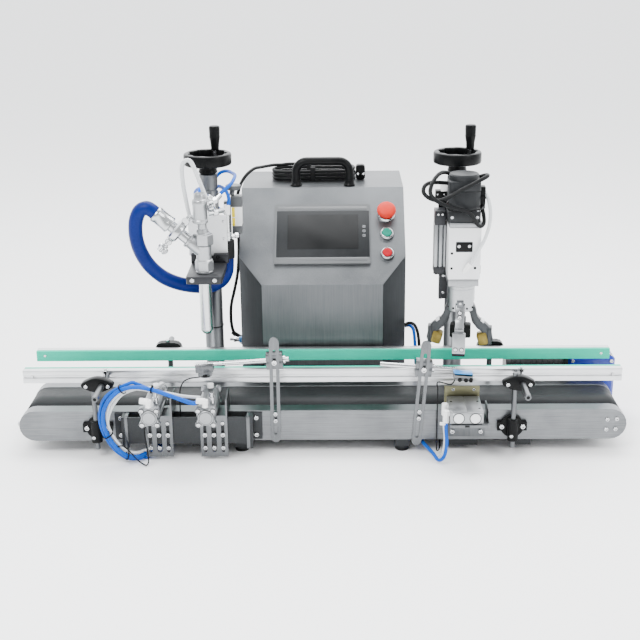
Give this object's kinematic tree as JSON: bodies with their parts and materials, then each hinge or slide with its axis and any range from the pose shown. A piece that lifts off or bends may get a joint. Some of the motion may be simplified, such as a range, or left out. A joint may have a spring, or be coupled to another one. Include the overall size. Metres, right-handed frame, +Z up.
{
  "type": "filling and capping machine",
  "caption": "Tabletop filling and capping machine: belt conveyor with guide rails, liquid filling valve, four-jaw cap chuck and control cabinet.",
  "frame": {"origin": "under the middle of the machine's bounding box, on the surface the feet stand on", "axes": "+X along the conveyor towards the drive end, +Y from the operator's side to the back, +Z up"},
  "size_m": [1.212, 0.622, 0.6148],
  "materials": {
    "stainless": "brushed stainless steel",
    "dark_paint": "dark grey coated steel",
    "black_aluminium": "black anodised",
    "belt": "matt dark conveyor belting",
    "roller_aluminium": "turned",
    "rail_aluminium": "satin anodised profile with a green wear strip",
    "cylinder_aluminium": "clear anodised",
    "blue_paint": "blue enamel",
    "motor_black": "black paint",
    "black_plastic": "moulded, slightly glossy",
    "grey_plastic": "moulded housing with a dark screen",
    "post_steel": "dark turned steel",
    "finger_steel": "grey anodised, brass and rubber pads",
    "chrome": "polished",
    "blue_hose": "smooth flexible hose",
    "red_plastic": "moulded",
    "green_plastic": "moulded",
    "cord_rubber": "smooth black jacket"
  },
  "bodies": {
    "machine": {"base_frame": "dark_paint", "front_side_plate": "stainless", "rear_side_plate": "stainless", "belt_bed": "dark_paint", "conveyor_belt": "belt", "drive_gearbox": "blue_paint", "drive_motor": "motor_black", "front_post_hub_left": "black_plastic", "front_post_hub_right": "black_plastic", "rear_rail_support_left": "black_plastic", "rear_rail_support_right": "black_plastic", "sensor_bar_left": "stainless", "sensor_bar_right": "stainless", "stop_bar": "black_aluminium", "stop_bracket_left": "stainless", "stop_bracket_right": "stainless", "stop_cylinder_left": "cylinder_aluminium", "stop_cylinder_right": "cylinder_aluminium", "clamp_cylinder": "cylinder_aluminium", "fill_column": "stainless", "cap_column": "stainless", "cabinet_shell": "stainless", "cabinet_rear_cover": "stainless", "touch_screen": "grey_plastic", "carry_handle": "black_plastic", "power_cord_lead": "cord_rubber", "power_cord_coil": "cord_rubber", "power_plug": "black_plastic", "air_hose": "blue_hose"},
    "front_rail_posts": {"front_rail_post_left": "post_steel", "front_rail_post_right": "post_steel"},
    "front_rail": {"front_guide_rail": "rail_aluminium"},
    "rear_rail": {"rear_guide_rail": "rail_aluminium"},
    "drive_roller_body": {"drive_roller": "roller_aluminium"},
    "idler_roller_body": {"idler_roller": "roller_aluminium"},
    "left_sensor": {"sensor_arm_left": "stainless"},
    "right_sensor": {"sensor_arm_right": "stainless"},
    "left_stop": {"stop_rod_left": "chrome"},
    "right_stop": {"stop_rod_right": "chrome"},
    "bottle_clamp": {"clamp_plate": "stainless"},
    "fill_lift": {"fill_carriage": "black_aluminium", "fill_valve": "stainless", "nozzle_tube": "chrome", "product_hose": "blue_hose"},
    "fill_stem": {"valve_stem": "chrome"},
    "fill_wheel": {"fill_handwheel": "black_plastic"},
    "fill_grip": {"fill_wheel_grip": "black_plastic"},
    "cap_lift": {"cap_carriage": "black_aluminium"},
    "cap_wheel": {"cap_handwheel": "black_plastic"},
    "cap_grip": {"cap_wheel_grip": "black_plastic"},
    "cap_head": {"cap_housing": "cylinder_aluminium", "cap_motor": "motor_black"},
    "chuck": {"cap_chuck": "roller_aluminium"},
    "jaw_front": {"cap_jaw_front": "finger_steel"},
    "jaw_right": {"cap_jaw_right": "finger_steel"},
    "jaw_rear": {"cap_jaw_rear": "finger_steel"},
    "jaw_left": {"cap_jaw_left": "finger_steel"},
    "estop_button": {"emergency_stop": "red_plastic"},
    "start_push": {"start_button": "green_plastic"},
    "stop_push": {"stop_button": "red_plastic"}
  },
  "joints": [
    {"name": "drive_roller_spin", "type": "hinge", "parent": "machine", "child": "drive_roller_body", "pos_m": [0.5623, -0.136, 0.06], "axis": [0, 1, 0], "continuous": true},
    {"name": "idler_roller_spin", "type": "hinge", "parent": "machine", "child": "idler_roller_body", "pos_m": [-0.5743, -0.136, 0.06], "axis": [0, 1, 0], "continuous": true},
    {"name": "front_rail_height", "type": "slide", "parent": "machine", "child": "front_rail_posts", "axis": [0, 0, 1], "range_m": [0, 0.015]},
    {"name": "front_rail_reach", "type": "slide", "parent": "front_rail_posts", "child": "front_rail", "axis": [0, 1, 0], "range_m": [-0.01, 0.025]},
    {"name": "rear_rail_reach", "type": "slide", "parent": "machine", "child": "rear_rail", "axis": [0, -1, 0], "range_m": [0, 0.025]},
    {"name": "left_sensor_height", "type": "slide", "parent": "machine", "child": "left_sensor", "axis": [0, 0, 1], "range_m": [-0.018, 0.018]},
    {"name": "right_sensor_height", "type": "slide", "parent": "machine", "child": "right_sensor", "axis": [0.0809, 0, 0.9967], "range_m": [-0.022, 0.006]},
    {"name": "left_stop_stroke", "type": "slide", "parent": "machine", "child": "left_stop", "axis": [0, 1, 0], "range_m": [0, 0.05]},
    {"name": "right_stop_stroke", "type": "slide", "parent": "machine", "child": "right_stop", "axis": [0, 1, 0], "range_m": [0, 0.05]},
    {"name": "bottle_clamp_stroke", "type": "slide", "parent": "machine", "child": "bottle_clamp", "axis": [0, 1, 0], "range_m": [0, 0.03]},
    {"name": "fill_wheel_turn", "type": "hinge", "parent": "machine", "child": "fill_wheel", "pos_m": [-0.2322, -0.016, 0.527], "axis": [0, 0, 1], "range_deg": [-1080.5, 2520.5]},
    {"name": "fill_lift_height", "type": "slide", "parent": "machine", "child": "fill_lift", "axis": [0, 0, 1], "range_m": [-0.015, 0.035]},
    {"name": "fill_grip_spin", "type": "hinge", "parent": "fill_wheel", "child": "fill_grip", "pos_m": [-0.2199, 0.018, 0.5662], "axis": [0, 0, 1], "continuous": true},
    {"name": "valve_stem_lift", "type": "slide", "parent": "fill_lift", "child": "fill_stem", "axis": [0, 0, 1], "range_m": [0, 0.01], "stiffness_N_per_m": 400, "springref_m": -0.003},
    {"name": "cap_wheel_turn", "type": "hinge", "parent": "machine", "child": "cap_wheel", "pos_m": [0.2677, -0.016, 0.527], "axis": [0, 0, 1], "range_deg": [-0.5, 2880.5]},
    {"name": "cap_lift_height", "type": "slide", "parent": "machine", "child": "cap_lift", "axis": [0, 0, 1], "range_m": [0, 0.04]},
    {"name": "cap_grip_spin", "type": "hinge", "parent": "cap_wheel", "child": "cap_grip", "pos_m": [0.2952, 0.0075, 0.5662], "axis": [0, 0, 1], "continuous": true},
    {"name": "cap_head_stroke", "type": "slide", "parent": "cap_lift", "child": "cap_head", "axis": [0, 0, 1], "range_m": [-0.016, 0]},
    {"name": "chuck_spin", "type": "hinge", "parent": "cap_head", "child": "chuck", "pos_m": [0.2695, -0.136, 0.276], "axis": [0, 0, 1], "continuous": true},
    {"name": "jaw_front_swing", "type": "hinge", "parent": "chuck", "child": "jaw_front", "pos_m": [0.26682, -0.15632, 0.2825], "axis": [-0.9914, 0.1305, 0], "range_deg": [-12, 4]},
    {"name": "jaw_right_swing", "type": "hinge", "parent": "chuck", "child": "jaw_right", "pos_m": [0.28982, -0.13868, 0.2825], "axis": [-0.1305, -0.9914, 0], "range_deg": [-12, 4]},
    {"name": "jaw_rear_swing", "type": "hinge", "parent": "chuck", "child": "jaw_rear", "pos_m": [0.27218, -0.11568, 0.2825], "axis": [0.9914, -0.1305, 0], "range_deg": [-12, 4]},
    {"name": "jaw_left_swing", "type": "hinge", "parent": "chuck", "child": "jaw_left", "pos_m": [0.24918, -0.13332, 0.2825], "axis": [0.1305, 0.9914, 0], "range_deg": [-12, 4]},
    {"name": "emergency_stop_press", "type": "slide", "parent": "machine", "child": "estop_button", "axis": [0, 0.6947, -0.7193], "range_m": [0, 0.004], "stiffness_N_per_m": 800, "springref_m": -0.002},
    {"name": "start_button_press", "type": "slide", "parent": "machine", "child": "start_push", "axis": [0, 0.6947, -0.7193], "range_m": [0, 0.003], "stiffness_N_per_m": 400, "springref_m": -0.002},
    {"name": "stop_button_press", "type": "slide", "parent": "machine", "child": "stop_push", "axis": [0, 0.6947, -0.7193], "range_m": [0, 0.003], "stiffness_N_per_m": 400, "springref_m": -0.002}
  ],
  "couplings": [
    {"joint": "idler_roller_spin", "follows": "drive_roller_spin", "ratio": 1},
    {"joint": "fill_wheel_turn", "follows": "fill_lift_height", "rad_per_m": 1256.6},
    {"joint": "cap_wheel_turn", "follows": "cap_lift_height", "rad_per_m": 1256.6},
    {"joint": "jaw_right_swing", "follows": "jaw_front_swing", "ratio": 1},
    {"joint": "jaw_rear_swing", "follows": "jaw_front_swing", "ratio": 1},
    {"joint": "jaw_left_swing", "follows": "jaw_front_swing", "ratio": 1}
  ]
}
